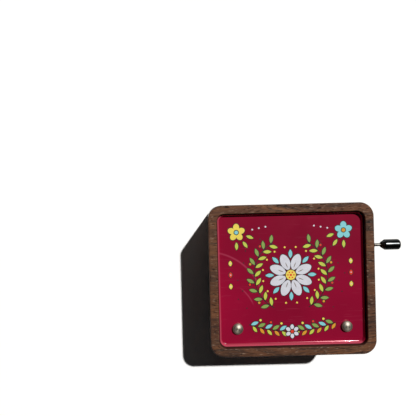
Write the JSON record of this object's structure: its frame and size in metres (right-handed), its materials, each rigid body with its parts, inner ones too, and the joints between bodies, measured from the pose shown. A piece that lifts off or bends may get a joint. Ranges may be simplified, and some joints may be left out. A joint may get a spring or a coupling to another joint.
{
  "type": "hand-cranked music box",
  "caption": "Small walnut box with a printed red metal tray in its front and a short side crank, which turns a pinned cylinder against a steel comb through a worm.",
  "frame": {"origin": "middle of the wooden back face, on which the box lies", "axes": "+Z from the wooden back to the printed tray; +X to the wall that the crank leaves; +Y to the tray's far edge, away from the mount screws"},
  "size_m": [0.078, 0.0586, 0.04],
  "materials": {
    "walnut": "satin varnished walnut with open pores",
    "red_enamel": "glossy crimson enamel with a printed pattern",
    "turned_steel": "turned plain steel",
    "comb_steel": "ground spring steel",
    "nickel": "bright nickel plate",
    "dark_nickel": "polished black nickel plate",
    "cast_zinc": "plain die-cast zinc",
    "brass": "turned brass"
  },
  "bodies": {
    "box": {"case": "walnut", "tray_cover": "red_enamel", "mount_screw_left": "turned_steel", "mount_screw_right": "turned_steel", "wall_bush": "nickel", "bedplate": "cast_zinc", "gear_bridge": "cast_zinc", "bridge_screw_left": "turned_steel", "bridge_screw_right": "turned_steel", "tail_bracket": "cast_zinc", "tail_screw_left": "turned_steel", "tail_screw_right": "turned_steel", "comb": "comb_steel", "comb_screw_left": "turned_steel", "comb_screw_right": "turned_steel"},
    "drum": {"cylinder": "brass", "cylinder_plug_tail": "cast_zinc", "cylinder_plug_gear": "cast_zinc", "cylinder_arbor": "turned_steel", "worm_wheel": "brass"},
    "crank": {"crank_shaft": "turned_steel", "worm": "turned_steel", "shaft_clip": "turned_steel", "crank_arm": "dark_nickel", "knob_pin": "dark_nickel"},
    "knob": {"crank_knob": "dark_nickel"}
  },
  "joints": [
    {"name": "crank_turn", "type": "hinge", "parent": "box", "child": "crank", "pos_m": [0.0328, 0.0118, 0.0175], "axis": [1, 0, 0], "continuous": true},
    {"name": "cylinder_turn", "type": "hinge", "parent": "box", "child": "drum", "pos_m": [0.01, 0, 0.0269], "axis": [0, 1, 0], "continuous": true},
    {"name": "knob_spin", "type": "hinge", "parent": "crank", "child": "knob", "pos_m": [0.0385, 0.0118, 0.03], "axis": [1, 0, 0], "continuous": true}
  ],
  "couplings": [
    {"joint": "cylinder_turn", "follows": "crank_turn", "ratio": 0.0625}
  ]
}
